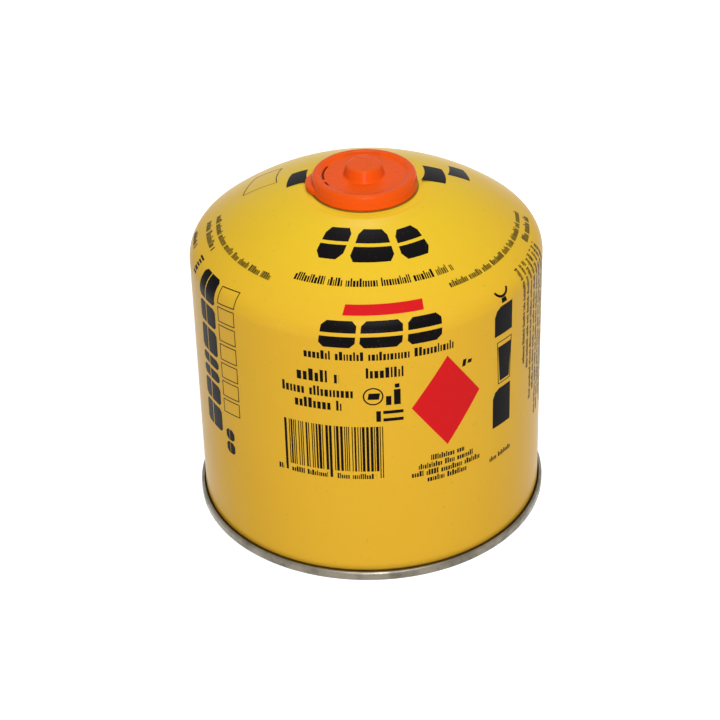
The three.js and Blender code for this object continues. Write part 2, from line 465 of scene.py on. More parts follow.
def offsetLine(line, distance):
    # The line moved to its left. A point on the axis stays on the axis.
    headings = [(b - a).normalized() for a, b in zip(line, line[1:])]
    moved = []
    for i, point in enumerate(line):
        into, out = headings[max(i - 1, 0)], headings[min(i, len(headings) - 1)]
        left = Vector((-into.y - out.y, into.x + out.x)).normalized()
        shifted = point + left * distance / (left.y * into.x - left.x * into.y)
        moved.append(Vector((0, shifted.y)) if point.x == 0 else shifted)
    return moved


# Turned pieces

# Merging distances, the last two in the print's millimetres
weldSizes = {
    "turned": 0.0005 * mm,
    "film": 0.001 * mm,
    "folded": 0.0001 * mm,
    "corner": 0.01,
    "cut": 0.0001,
}


def newTree(name, **labels):
    # labels holds the names of the inputs by their kind
    tree = bpy.data.node_groups.new(name, "GeometryNodeTree")
    tree.interface.new_socket("Geometry", in_out="INPUT", socket_type="NodeSocketGeometry")
    for kind, group in {**labels, "Material": ["Material"]}.items():
        for label in group:
            tree.interface.new_socket(label, in_out="INPUT", socket_type="NodeSocket" + kind)
    tree.interface.new_socket("Geometry", in_out="OUTPUT", socket_type="NodeSocketGeometry")
    maker = NodeMaker(tree)
    source = tree.nodes.new("NodeGroupInput")
    wires = {socket.name: Wire(maker, socket) for socket in source.outputs if socket.name}
    return maker, wires


def endTree(maker, geometry, material):
    geometry = maker.add("GeometryNodeRealizeInstances", {0: geometry})
    geometry = maker.add("GeometryNodeSetMaterial", {"Geometry": geometry, "Material": material})
    maker.add("NodeGroupOutput", {0: geometry})


def bakeTree(name, mesh, maker, values):
    # Runs the tree once on a mesh and keeps the result as a plain mesh at the origin
    holder = addObject(name + "Source", mesh)
    modifier = holder.modifiers.new("tree", "NODES")
    modifier.node_group = maker.tree
    for item in maker.tree.interface.items_tree:
        if item.in_out == "INPUT" and item.name in values:
            modifier[item.identifier] = values[item.name]
    graph = bpy.context.evaluated_depsgraph_get()
    result = bpy.data.meshes.new_from_object(holder.evaluated_get(graph))
    result.name = name
    bpy.data.objects.remove(holder)
    return addObject(name, result)


def setAround(maker, geometry, reach, angle, height):
    # Puts every point at this distance from +Z, angle about it and height
    spot = maker.add(
        "ShaderNodeCombineXYZ",
        {"X": reach * angle.math("SINE"), "Y": reach * angle.math("COSINE") * -1, "Z": height},
    )
    return maker.add("GeometryNodeSetPosition", {"Geometry": geometry, "Position": spot})


def latheTree():
    # Every grid column is the outline, turned about +Z. A thread runs along points marked for it.
    counts, lengths = ("Segments", "Outline Points"), ("Thread Pitch", "Thread Depth")
    maker, given = newTree("latheTree", Int=counts, Float=lengths)
    sides = {"Vertices X": given["Segments"] + 1, "Vertices Y": given["Outline Points"]}
    grid = maker.add("GeometryNodeMeshGrid", sides)
    index = maker.add("GeometryNodeInputIndex")
    row = index.math("MODULO", given["Outline Points"])
    column = (index / given["Outline Points"]).math("FLOOR")
    turn = column / given["Segments"]
    position = maker.add("GeometryNodeInputPosition")
    spot = maker.add(
        "GeometryNodeSampleIndex",
        {"Geometry": given["Geometry"], "Value": position, "Index": row},
        data_type="FLOAT_VECTOR",
        domain="POINT",
    )
    reach, threaded, height = maker.split(spot)
    phase = (height / given["Thread Pitch"] - turn) * (2 * math.pi)
    groove = (1 - phase.math("COSINE")) * 0.5 * given["Thread Depth"] * threaded
    turned = setAround(maker, grid, reach - groove, turn * (2 * math.pi), height)
    weld = {"Geometry": turned, "Distance": weldSizes["turned"]}
    closed = maker.add("GeometryNodeMergeByDistance", weld)
    smooth = maker.add("GeometryNodeSetShadeSmooth", {"Geometry": closed})
    endTree(maker, smooth, given["Material"])
    return maker


def turnPiece(name, outline, segments, material, thread=None):
    # thread is (pitch, depth, bottom, top): the points between bottom and top carry it
    pitch, depth, bottom, top = thread or (1.0, 0.0, 0, 0)
    mesh = bpy.data.meshes.new(name + "Outline")
    marks = [1.0 if thread and bottom < z < top and r > 0 else 0.0 for r, z in outline]
    mesh.from_pydata([(r, mark, z) for (r, z), mark in zip(outline, marks)], [], [])
    values = {
        "Segments": segments,
        "Outline Points": len(outline),
        "Thread Pitch": pitch,
        "Thread Depth": depth,
        "Material": material,
    }
    return closePiece(bakeTree(name, mesh, lathe, values))


def report(name, work):
    openEdges = sum(1 for edge in work.edges if len(edge.link_faces) != 2)
    volume = work.calc_volume() / (10 * mm) ** 3
    print(f"{name}: {len(work.faces)} faces, {openEdges} open edges, {volume:.3f} cm3")


def closePiece(piece):
    # Drops what the merge has folded flat, and turns the faces outwards
    work = bmesh.new()
    work.from_mesh(piece.data)
    bmesh.ops.dissolve_degenerate(work, dist=weldSizes["folded"], edges=work.edges[:])
    bmesh.ops.recalc_face_normals(work, faces=work.faces[:])
    report(piece.name, work)
    work.to_mesh(piece.data)
    work.free()
    return piece


bodyBox, endBox, capBox = (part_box(node) for node in ("can_body", "base_end", "cap"))

bodySizes = {
    "radius": bodyBox[1].x,
    "sheet": 0.4 * mm,
    "wallTop": 87.4 * mm,
    "knuckle": 8.1 * mm,
    "crownRise": 24.46 * mm,
    "ringWidth": 3.4 * mm,
    "ringRise": 0.75 * mm,
    "ringRounding": 6 * mm,
    "blend": 2.5 * mm,
    "blendDrop": 0.75 * mm,
    "blendClear": 0.3 * mm,
    "landWidth": 6.65 * mm,
    "neckRadius": 12.7 * mm,
    "beadRadius": 0.85 * mm,
    "beadLift": 1.4 * mm,
    "seatGap": 0.3 * mm,
    "segments": 256,
}
endSizes = {
    "seamRadius": endBox[1].x,
    "seamHeight": 3.2 * mm,
    "crest": 1 * mm,
    "rounding": 0.8 * mm,
    "ledgeHeight": 4.6 * mm,
    "ledgeWidth": 5.9 * mm,
    "ledgeCorner": 1.5 * mm,
    "dishDepth": 6.9 * mm,
    "dishBlend": 1 * mm,
}
cupSizes = {
    "crimpGap": 0.2 * mm,
    "depth": 7.4 * mm,
    "corner": 1 * mm,
    "curlTuck": 50,
    "pedestalRadius": 5.55 * mm,
    "pedestalRise": 0.9 * mm,
    "pedestalRoot": 0.8 * mm,
    "pedestalNose": 1.6 * mm,
    "boreRadius": 2.4 * mm,
    "threadPitch": 25.4 / 28 * mm,
    "threadDepth": 0.5 * mm,
    "segments": 192,
}
capSizes = {
    "skirtWall": 1.1 * mm,
    "skirtDraft": 0.5 * mm,
    "rimWidth": 1.9 * mm,
    "rimRise": 0.8 * mm,
    "rimRounding": 1.1 * mm,
    "rimSlope": 1.4 * mm,
    "rimFillet": 2.2 * mm,
    "deckThickness": 1 * mm,
    "deckFillet": 0.4 * mm,
    "deckCorner": 0.3 * mm,
    "bossFootWall": 0.55 * mm,
    "bossDraft": 1.1 * mm,
    "bossLead": 0.4 * mm,
    "bossFillet": 0.9 * mm,
    "bossRounding": 0.7 * mm,
    "bossWall": 0.9 * mm,
    "snapReach": 0.4 * mm,
    "snapLip": 0.1 * mm,
    "snapHeight": 0.9 * mm,
    "tabAzimuth": -90,
    "tabReach": 1.7 * mm,
    "tabRadius": 8 * mm,
    "tabHeight": 2 * mm,
    "tabBevel": 0.45 * mm,
    "bevelSteps": ((-1, 0), (-0.3, 0.1), (0, 0.5), (0, 1)),
    "footBevel": 0.15,
    "tabRoot": 0.3 * mm,
    "rootStart": 0.12 * mm,
    "rootOut": 0.03 * mm,
    "rootRise": 0.04 * mm,
    "slotWidth": 0.5 * mm,
    "slotDraft": 0.06 * mm,
    "slotLip": 0.10 * mm,
    "slots": [(-118, -77), (-71, -59)],
    "slotEnd": 1.2,
    "notchAzimuth": 121,
    "notchLength": 2.1 * mm,
    "notchWidth": 0.8 * mm,
    "notchDepth": 0.4 * mm,
    "notchEdge": 0.25 * mm,
    "notchEnd": 0.8,
    "segments": 360,
}


def followOn():
    # Radii and heights that follow from the sizes above, the neck's and the valve's from z = 0
    body, cup, cap = bodySizes, cupSizes, capSizes
    shoulder = body["radius"] - body["knuckle"]
    rise, knuckle = body["crownRise"], body["knuckle"]
    crown = (shoulder**2 + rise**2 - knuckle**2) / (2 * (rise - knuckle))
    crownCentre = body["wallTop"] + rise - crown
    curlCentre = body["neckRadius"] + body["beadRadius"]
    ringEdge = curlCentre + body["landWidth"]
    crownEdge = ringEdge + body["ringWidth"]
    crownEdgeHeight = crownCentre + math.sqrt(crown**2 - crownEdge**2)
    neck = crownEdgeHeight + body["ringRise"]
    curlRadius = body["beadRadius"] + cup["crimpGap"] + body["sheet"]
    curlTop = neck + body["beadLift"] + curlRadius
    skirtBore = curlCentre + curlRadius + body["seatGap"]
    deckUnder = curlTop + body["seatGap"]
    capRadius = skirtBore + cap["skirtWall"]
    rimInner = capRadius - cap["skirtDraft"] - cap["rimWidth"]
    pedestalTop = curlTop + cup["pedestalRise"]
    return {
        "shoulderRadius": shoulder,
        "crownRadius": crown,
        "crownCentre": crownCentre,
        "shoulderAngle": math.degrees(math.atan2(body["wallTop"] - crownCentre, shoulder)),
        "crownEndAngle": math.degrees(math.acos(crownEdge / crown)),
        "curlCentre": curlCentre,
        "ringEdge": ringEdge,
        "crownEdge": crownEdge,
        "crownEdgeHeight": crownEdgeHeight,
        "neckHeight": neck,
        "beadHeight": neck + body["beadLift"],
        "curlRadius": curlRadius,
        "wellRadius": body["neckRadius"] - cup["crimpGap"] - body["sheet"],
        "cupFloor": curlTop - cup["depth"],
        "pedestalTop": pedestalTop,
        "hookRadius": body["radius"] + body["seatGap"],
        "chuckRadius": body["radius"] - 2 * body["sheet"] - body["seatGap"],
        "skirtFoot": neck + body["seatGap"],
        "skirtBore": skirtBore,
        "capRadius": capRadius,
        "deckUnder": deckUnder,
        "deckTop": deckUnder + cap["deckThickness"],
        "rimTop": deckUnder + cap["deckThickness"] + cap["rimRise"],
        "rimInner": rimInner,
        "slotRadius": rimInner - cap["rimSlope"],
        "bossTop": capBox[1].z,
        "mouthRadius": cup["pedestalRadius"] + body["seatGap"],
    }


place = followOn()


def endUnderside(bottom):
    size = endSizes
    dish = place["chuckRadius"] - size["ledgeWidth"]
    sphere = (dish**2 + size["dishDepth"] ** 2) / (2 * size["dishDepth"])
    apex = size["ledgeHeight"] + size["dishDepth"]
    edge = math.degrees(math.acos((dish - size["dishBlend"]) / sphere))
    curve = arcLine(0, apex - sphere, sphere, 90, edge, 24)
    corners = [
        (*curve[-1],),
        (dish, size["ledgeHeight"], size["dishBlend"]),
        (place["chuckRadius"], size["ledgeHeight"], size["ledgeCorner"]),
        (place["chuckRadius"], bottom),
    ]
    return [Vector((0, apex))] + curve[1:-1] + roundedLine(corners)


def bodyOutline():
    size = bodySizes
    foot = endSizes["crest"] + size["seatGap"]
    gap = size["sheet"] + size["seatGap"]
    neck = [
        (place["crownEdge"] + size["blend"], place["crownEdgeHeight"] - size["blendDrop"]),
        (place["crownEdge"], place["crownEdgeHeight"], size["blend"]),
        (place["ringEdge"], place["neckHeight"], size["ringRounding"]),
        (place["curlCentre"], place["neckHeight"]),
    ]
    neckLine = roundedLine(neck, steps=10)[1:]
    shoulder, crownEnd = place["shoulderAngle"], place["crownEndAngle"]
    crown = arcLine(0, place["crownCentre"], place["crownRadius"], shoulder, crownEnd, 48)[1:]
    crown = [point for point in crown if point.x > neckLine[0].x + size["blendClear"]]
    wallTop, wellFloor = size["wallTop"], place["cupFloor"] - gap
    return (
        offsetLine(endUnderside(foot), gap)
        + straight(Vector((size["radius"], foot)), Vector((size["radius"], wallTop)), 20)
        + arcLine(place["shoulderRadius"], wallTop, size["knuckle"], 0, shoulder, 24)[1:]
        + crown
        + neckLine
        + arcLine(place["curlCentre"], place["beadHeight"], size["beadRadius"], -90, 180, 20)[1:]
        + [Vector((size["neckRadius"], wellFloor)), Vector((0, wellFloor))]
    )


def endOutline():
    size = endSizes
    inner = place["chuckRadius"]
    seam = roundedLine([
        (inner, size["ledgeHeight"]),
        (inner, 0, size["rounding"]),
        (size["seamRadius"], 0, size["rounding"]),
        (size["seamRadius"], size["seamHeight"], size["rounding"]),
        (place["hookRadius"], size["seamHeight"]),
        (place["hookRadius"], size["crest"]),
    ])
    upper = offsetLine(endUnderside(size["crest"]), bodySizes["sheet"])
    return endUnderside(size["rounding"])[:-1] + seam[1:] + upper[::-1]


def cupOutline():
    size = cupSizes
    floor, top, side = place["cupFloor"], place["pedestalTop"], size["pedestalRadius"]
    bead, start = place["beadHeight"], -size["curlTuck"]
    curl = arcLine(place["curlCentre"], bead, place["curlRadius"], start, 180, 30)
    well = roundedLine([
        (place["wellRadius"], bead),
        (place["wellRadius"], floor, size["corner"]),
        (side, floor, size["pedestalRoot"]),
        (side, top, size["pedestalNose"]),
        (size["boreRadius"], top),
    ])
    outside = curl + well[1:]
    inside = offsetLine(outside, bodySizes["sheet"])
    return outside + inside[::-1] + outside[:1]


# The cap: its outline changes round the axis at the tab, the slots and the notch

def tabEdge(turn):
    # Distance from the axis to the tab's edge, or 0 beside the tab
    size = capSizes
    centre = place["capRadius"] + size["tabReach"] - size["tabRadius"]
    away = math.radians((turn - size["tabAzimuth"] + 180) % 360 - 180)
    inside = size["tabRadius"] ** 2 - (centre * math.sin(away)) ** 2
    if inside <= 0 or abs(away) > math.pi / 2:
        return 0
    return centre * math.cos(away) + math.sqrt(inside)


def softStep(low, high, value):
    t = min(max((value - low) / (high - low), 0), 1)
    return t * t * (3 - 2 * t)


def slotDepth(turn):
    ends = capSizes["slotEnd"]
    deep = max(
        softStep(start, start + ends, turn) * softStep(-end, -end + ends, -turn)
        for start, end in capSizes["slots"]
    )
    return deep * capSizes["deckThickness"] / 2


def notchShare(turn):
    # How far into the notch this turn lies, 0 to 1
    half = math.degrees(capSizes["notchWidth"] / 2 / place["rimInner"])
    ends = capSizes["notchEnd"]
    return 1 - softStep(half - ends, half + ends, abs(turn - capSizes["notchAzimuth"]))


def capOutline(turn):
    size = capSizes
    foot, bore, outer = place["skirtFoot"], place["skirtBore"], place["capRadius"]
    deck, rim = place["deckTop"], place["rimTop"]
    slotAt, half = place["slotRadius"], size["slotWidth"] / 2
    bossFoot = place["mouthRadius"] + size["bossFootWall"]
    bossEnd = bossFoot - size["bossDraft"]
    bossUnder = place["bossTop"] - size["bossWall"]
    ridge = bore - size["snapReach"]
    bevel, tabTop = size["tabBevel"], foot + size["tabHeight"]

    inner = roundedLine([
        (bossEnd - size["bossWall"], bossUnder),
        (place["mouthRadius"], place["deckUnder"], size["deckFillet"]),
        (bore, place["deckUnder"], size["deckCorner"]),
        (bore, foot + size["snapHeight"]),
        (ridge, foot + size["snapLip"]),
        (ridge, foot),
    ], steps=4)

    def skirtAt(z):
        return outer - (z - foot) * size["skirtDraft"] / (rim - foot)

    reach = tabEdge(turn)
    tab = []
    for out, rise in size["bevelSteps"]:
        z = foot + rise * bevel
        tab.append((max(skirtAt(z) + out * bevel * size["footBevel"], reach + out * bevel), z))
    for out, rise in reversed(size["bevelSteps"]):
        z = tabTop - rise * bevel
        tab.append((max(skirtAt(z), reach + out * bevel), z))
    root = tabTop + size["tabRoot"]
    tab.append((skirtAt(tabTop + size["rootStart"]) + size["rootOut"], tabTop + size["rootRise"]))
    tab.append((skirtAt(root), root))
    tab = [Vector(point) for point in tab]

    rimFrom = roundedLine([
        (skirtAt(root), root),
        (outer - size["skirtDraft"], rim, size["rimRounding"]),
        (place["rimInner"], rim, size["rimFillet"]),
        (slotAt, deck),
    ], steps=10)[1:-1]
    share, notchFloor = notchShare(turn), rim - size["notchDepth"]
    near, far = (size["notchLength"] / 2 + side * size["notchEdge"] for side in (-1, 1))
    for point in rimFrom:
        over = 1 - softStep(near, far, abs(point.x - place["rimInner"]))
        point.y += min(0, (notchFloor - point.y) * over * share)

    deep, wall = slotDepth(turn), size["slotDraft"]
    slot = [
        Vector((slotAt + half + wall, deck + size["slotLip"])),
        Vector((slotAt + half, deck + size["slotLip"] / 2 - deep)),
        Vector((slotAt - half, deck - deep)),
        Vector((slotAt - half - wall, deck)),
    ]
    boss = roundedLine([
        (slotAt - half - size["bossLead"], deck),
        (bossFoot, deck, size["bossFillet"]),
        (bossEnd, place["bossTop"], size["bossRounding"]),
        (0, place["bossTop"]),
    ], steps=8)
    top = [point for point in rimFrom if point.x > slotAt + half + 2 * wall]
    return [Vector((0, bossUnder))] + inner + tab + top + slot + boss


def makeCap(material):
    columns = capSizes["segments"]
    work = bmesh.new()
    rings = []
    for i in range(columns):
        turn = 360 * i / columns - 180
        a = math.radians(turn)
        outline = capOutline(turn)
        rings.append([work.verts.new((p.x * math.sin(a), -p.x * math.cos(a), p.y)) for p in outline])
    for i, ring in enumerate(rings):
        following = rings[(i + 1) % columns]
        for k in range(len(ring) - 1):
            work.faces.new((ring[k], following[k], following[k + 1], ring[k + 1]))
    bmesh.ops.remove_doubles(work, verts=work.verts[:], dist=weldSizes["turned"])
    mesh = bpy.data.meshes.new("capShell")
    work.to_mesh(mesh)
    work.free()
    mesh.materials.append(material)
    mesh.shade_smooth()
    return closePiece(addObject("capShell", mesh))


# Print: flat shapes in millimetres, (along the wall, up the side), wrapped on the can afterwards

def slanted(left, right, bottom, top, lean=0.0, narrow=0.0):
    return [
        (left, bottom),
        (right, bottom),
        (right + lean - narrow, top),
        (left + lean + narrow, top),
    ]


def stripsBetween(inner, outer):
    # One four-sided shape for each step along the two lines
    return [[a, b, d, c] for a, b, c, d in zip(inner, outer, inner[1:], outer[1:])]


def ringStrip(u, s, radius, width, start=0, end=360, steps=28):
    outer, inner = (arcLine(u, s, r, start, end, steps) for r in (radius, radius - width))
    return stripsBetween(inner, outer)


def framed(outline, width):
    # The outline as a closed thin line, one strip along each side
    outer = [Vector(point) for point in outline]
    inner = []
    for i, point in enumerate(outer):
        back = (outer[i - 1] - point).normalized()
        ahead = (outer[(i + 1) % len(outer)] - point).normalized()
        half = back.angle(ahead) / 2
        inner.append(point + (back + ahead).normalized() * width / math.sin(half))
    return stripsBetween(inner + inner[:1], outer + outer[:1])


dashSizes = {
    "widths": (0.14, 0.34),
    "heights": (0.72, 0.72, 1.0),
    "gap": 0.13,
    "wordGap": 0.5,
    "wordLengths": (5, 12),
}


def dashLine(left, right, bottom, top, draw, slope=0.0):
    # A row of small upright dashes in uneven groups, as fine print looks from a step away
    size, height = dashSizes, top - bottom
    shapes, u, group = [], left, draw.randint(*size["wordLengths"])
    while u < right:
        width = height * draw.uniform(*size["widths"])
        tall = draw.choice(size["heights"])
        end = min(u + width, right)
        rise = slope * (u - left)
        shapes.append(slanted(u, end, bottom + rise, bottom + rise + height * tall))
        group -= 1
        gap = height * size["gap"]
        if group == 0:
            gap, group = height * size["wordGap"], draw.randint(*size["wordLengths"])
        u = end + gap
    return shapes


def dashLines(draw, *rows):
    return [dash for row in rows for dash in dashLine(*row, draw)]


def dashColumn(middle, width, bottom, top, draw):
    # A row of dashes set upright: along becomes up
    row = dashLine(bottom, top, -middle - width / 2, -middle + width / 2, draw)
    return [[(-s, u) for u, s in shape] for shape in row]


def trimmed(outline, corners, cut):
    # The outline with these corners cut off
    points = []
    for i, point in enumerate(outline):
        back, ahead = outline[i - 1] - point, outline[(i + 1) % len(outline)] - point
        if i in corners:
            points += [point + back.normalized() * cut, point + ahead.normalized() * cut]
        else:
            points.append(point)
    return points


def splitBlock(outline, share, gap, cut):
    # A block with cut corners, parted by one narrow level gap at a share of its height
    a, b, c, d = (Vector(point) for point in outline)
    low, high = share - gap / 2, share + gap / 2
    return [
        trimmed([a, b, b.lerp(c, low), a.lerp(d, low)], (0, 1), cut),
        trimmed([a.lerp(d, high), b.lerp(c, high), c, d], (2, 3), cut),
    ]


def turnedSplit(outline, share):
    # A block cut by one narrow upright gap
    a, b, c, d = (Vector(point) for point in outline)
    gap = 0.025
    return [
        trimmed([a, a.lerp(b, share - gap), d.lerp(c, share - gap), d], (0, 3), 1),
        trimmed([a.lerp(b, share + gap), b, c, d.lerp(c, share + gap)], (1, 2), 1),
    ]


def frontPrint(draw):
    shapes = []
    # Three broad blocks on the dome, over a line of small print
    for outline in (
        [(-24.5, 113.6), (-11.9, 113.9), (-8.1, 126.2), (-24.9, 125.6)],
        [(-8.5, 113.3), (13.5, 113.0), (13.0, 125.2), (-3.6, 125.9)],
        [(16.6, 112.7), (31.4, 113.0), (32.2, 124.5), (17.4, 124.0)],
    ):
        shapes += splitBlock(outline, 0.5, 0.11, 2.4)
    shapes += dashLines(draw, (-28.5, 35, 104.9, 107.7))
    # The same on the wall
    for left, right in ((-15, -4.2), (-2.8, 9.8), (11.4, 22)):
        shapes += splitBlock(slanted(left, right, 85.6, 94, lean=0.9), 0.5, 0.14, 1.5)
    shapes += dashLines(
        draw,
        (-19.5, 26, 81.2, 84.2),
        (-1, 10.3, 75, 78.6),
        (-22, -9, 73, 77.2),
        (-27, -5, 68, 71.4),
        (-23, -8.5, 63.3, 66.8),
    )
    # A ring round a small block, with uprights and flat bars about it
    shapes += ringStrip(1, 68.5, 3.1, 0.45)
    shapes += [
        slanted(-0.7, 2.7, 67.4, 69.6, lean=0.4),
        slanted(4.8, 6.4, 65.2, 68.4),
        slanted(7.2, 9.2, 65.2, 70.6),
        slanted(7.5, 8.9, 71.2, 72.6),
        slanted(1.8, 3.2, 59.4, 63.2),
        slanted(3.9, 10, 59.4, 60.5),
        slanted(3.9, 10, 62.1, 63.2),
    ]
    # A block of upright stripes
    u = -27.0
    while u < 3.6:
        width = draw.choice((0.3, 0.3, 0.55, 0.8))
        bottom = 38.6 if u < -26 or u > 2.6 or -12.6 < u < -11.2 else 41.2
        shapes.append(slanted(u, min(u + width, 4), bottom, 57.6))
        u += width + draw.choice((0.3, 0.3, 0.45, 0.75))
    # Short lines between its long stripes, and four under the lozenge
    shapes += dashLines(
        draw,
        (-29.5, -27.8, 38.4, 40.3),
        (-25, -13.4, 38.4, 40.3),
        (-10.4, 1.6, 38.4, 40.3),
        (18.5, 30, 42.6, 44.6),
        (14.5, 33, 40, 42),
        (12.3, 35.8, 37.4, 39.4),
        (17.3, 31, 34.9, 36.9),
    )
    return shapes


def rightPrint(draw):
    # A small mark beside the lozenge, and plain block figures at the right
    shapes = [
        slanted(29, 30.2, 73.4, 75.8, lean=0.4),
        slanted(30.9, 32.3, 74, 75.2, lean=0.3),
        [(41.7, 78.3), (49.9, 78.3), (49.9, 88.2), (44.4, 88.2), (42.6, 87.2), (41.7, 85.2)],
        slanted(45, 47.4, 89, 90.5, narrow=0.2),
        [(41.2, 45.4), (49.4, 45.4), (49.4, 59.2), (43.9, 59.2), (42.1, 58.2), (41.2, 56.2)],
        slanted(44.2, 48.6, 61.8, 74.2, narrow=-0.9),
    ]
    shapes += ringStrip(46.2, 94, 3.4, 0.8, start=200, end=340, steps=14)
    shapes += framed(slanted(43.4, 49.2, 60.8, 76, narrow=-0.6), 0.3)
    shapes += dashLine(40, 50.5, 33.4, 35.2, draw, slope=0.07)
    # Fine print in upright columns, and round the shoulder
    u = 57.2
    for bottom in (61, 58, 45, 47, 36, 36, 40, 36):
        shapes += dashColumn(u, 1.5, bottom, 95, draw)
        u += 2.6
    shapes += dashLines(
        draw,
        (-90, -37.5, 101.9, 104.1),
        (30, 90, 100.0, 102.1),
        (73.5, 90, 96.2, 98.6),
        (-90, -70.5, 98, 100.4),
        (-90, -80, 92.4, 94.4),
    )
    shapes += dashColumn(-71, 3.4, 89.5, 95, draw)
    return shapes


def tallStack():
    # Heavy blocks beside open ones, at the left
    shapes, s = [], 94.6
    for tall in (9.0, 7.2, 8.8, 3.4, 3.6, 6.8, 8.4):
        shapes += turnedSplit(slanted(-64.6, -54.6, s - tall, s), 0.42)
        s -= tall + 1.3
    s = 94.4
    for tall in (6.4, 6.0, 6.4, 6.4, 6.2, 6.2, 5.6):
        low = s - tall
        shapes += framed([(-52.8, low), (-44.6, low + 1.2), (-44.6, s + 0.6), (-52.8, s - 0.6)], 0.32)
        s -= tall + 0.4
    for bottom, top in ((39, 43), (34, 38.2)):
        shapes += turnedSplit(slanted(-52.4, -48.2, bottom, top), 0.4)
    return shapes


def domeBackShapes():
    # Plain shapes on the back of the dome, given as points of the plan and carried to (u, s)
    plans = [
        [(-24, 2), (-17.2, 3), (-17.4, 12), (-22.4, 11.5)],
        [(17.5, 2), (25, 2.5), (24.2, 13.6), (18.2, 13.4)],
        [(26, 10), (33, 10.4), (31.2, 20), (26.6, 19.6)],
    ]
    hollow = [(-38, 8.4), (-27, 8), (-25.6, 21), (-34, 21.8)]
    shapes = [[planPoint(*point) for point in plan] for plan in plans]
    return shapes + framed([planPoint(*point) for point in hollow], 0.35)


def crownStart():
    # How far up the side the crown begins, in millimetres
    knuckle = bodySizes["knuckle"] * math.radians(place["shoulderAngle"])
    return bodySizes["wallTop"] / mm + knuckle / mm


def planPoint(x, y):
    reach = math.hypot(x, y)
    rise = math.acos(reach * mm / place["crownRadius"]) - math.radians(place["shoulderAngle"])
    return math.atan2(x, -y) * bodySizes["radius"] / mm, crownStart() + rise * place["crownRadius"] / mm


def blackShapes():
    draw = random.Random(11)
    return frontPrint(draw) + rightPrint(draw) + tallStack() + domeBackShapes()


def redShapes():
    return [
        [(24, 47), (35.5, 63), (24, 79), (12.5, 63)],
        slanted(-8, 18, 95.7, 99.2, lean=0.6),
    ]


printSizes = {
    "depth": 0.02 * mm,
    "rise": 0.03 * mm,
    "wallStep": 1.5,
    "knuckleStep": 0.5,
}
filmInputs = {
    "Body Radius": bodySizes["radius"],
    "Wall Top": bodySizes["wallTop"],
    "Knuckle Radius": bodySizes["knuckle"],
    "Crown Radius": place["crownRadius"],
    "Shoulder Angle": math.radians(place["shoulderAngle"]),
    "Film Depth": printSizes["depth"],
    "Film Rise": printSizes["rise"],
}


def wrapTree():
    # Gives flat shapes their thickness and lays them on the wall, the knuckle and the crown
    maker, given = newTree("wrapTree", Float=filmInputs)
    radius, wallTop, knuckle, crown, shoulder, depth, rise = (given[name] for name in filmInputs)
    thickness = maker.add("ShaderNodeCombineXYZ", {"Z": depth + rise})
    raisedFilm = maker.add(
        "GeometryNodeExtrudeMesh",
        {"Mesh": given["Geometry"], "Offset": thickness, "Offset Scale": 1.0, "Individual": False},
        mode="FACES",
    )
    under = maker.add("GeometryNodeFlipFaces", {"Mesh": given["Geometry"]})
    joined = maker.tree.nodes.new("GeometryNodeJoinGeometry")
    maker.tree.links.new(under.socket, joined.inputs[0])
    maker.tree.links.new(raisedFilm.socket, joined.inputs[0])
    closed = maker.add(
        "GeometryNodeMergeByDistance",
        {"Geometry": Wire(maker, joined.outputs[0]), "Distance": weldSizes["film"]},
    )
    position = maker.add("GeometryNodeInputPosition")
    along, up, above = maker.split(position)
    out = above - depth
    onKnuckle = ((up - wallTop) / knuckle).math("MAXIMUM", 0.0).math("MINIMUM", shoulder)
    onCrown = ((up - wallTop - knuckle * shoulder) / crown).math("MAXIMUM", 0.0)
    lean = onKnuckle + onCrown
    reach = (
        radius - knuckle
        + knuckle * onKnuckle.math("COSINE")
        + crown * ((shoulder + onCrown).math("COSINE") - shoulder.math("COSINE"))
        + out * lean.math("COSINE")
    )
    height = (
        up.math("MINIMUM", wallTop)
        + knuckle * onKnuckle.math("SINE")
        + crown * ((shoulder + onCrown).math("SINE") - shoulder.math("SINE"))
        + out * lean.math("SINE")
    )
    laid = setAround(maker, closed, reach, along / radius, height)
    endTree(maker, laid, given["Material"])
    return maker


def flatMesh(name, shapes):
    # Cuts the shapes finely enough to bend, then scales millimetres to metres
    work = bmesh.new()
    for shape in shapes:
        work.faces.new([work.verts.new((u, s, 0)) for u, s in shape])
    bmesh.ops.remove_doubles(work, verts=work.verts[:], dist=weldSizes["corner"])
    bare = [edge for edge in work.edges if not edge.link_faces]
    bmesh.ops.delete(work, geom=bare, context="EDGES")
    for face in work.faces:
        face.normal_update()
    wrong = [face for face in work.faces if face.normal.z < 0]
    bmesh.ops.reverse_faces(work, faces=wrong)

    reach = math.pi * bodySizes["radius"] / mm
    count = int(2 * reach / printSizes["wallStep"])
    cuts = [((-reach + 2 * reach * i / count, 0, 0), (1, 0, 0)) for i in range(1, count)]
    highest = max(vert.co.y for vert in work.verts)
    level = bodySizes["wallTop"] / mm
    while level < highest:
        cuts.append(((0, level, 0), (0, 1, 0)))
        level += printSizes["knuckleStep"] if level < crownStart() else printSizes["wallStep"]
    for spot, heading in cuts:
        bmesh.ops.bisect_plane(
            work,
            geom=work.verts[:] + work.edges[:] + work.faces[:],
            plane_co=spot,
            plane_no=heading,
            dist=weldSizes["cut"],
        )
    bmesh.ops.scale(work, vec=(mm, mm, mm), verts=work.verts[:])
    mesh = bpy.data.meshes.new(name + "Flat")
    work.to_mesh(mesh)
    work.free()
    return mesh


def layPrint(name, shapes, material):
    piece = bakeTree(name, flatMesh(name, shapes), wrap, {**filmInputs, "Material": material})
    work = bmesh.new()
    work.from_mesh(piece.data)
    report(name, work)
    work.free()
    return piece


# Floor and light

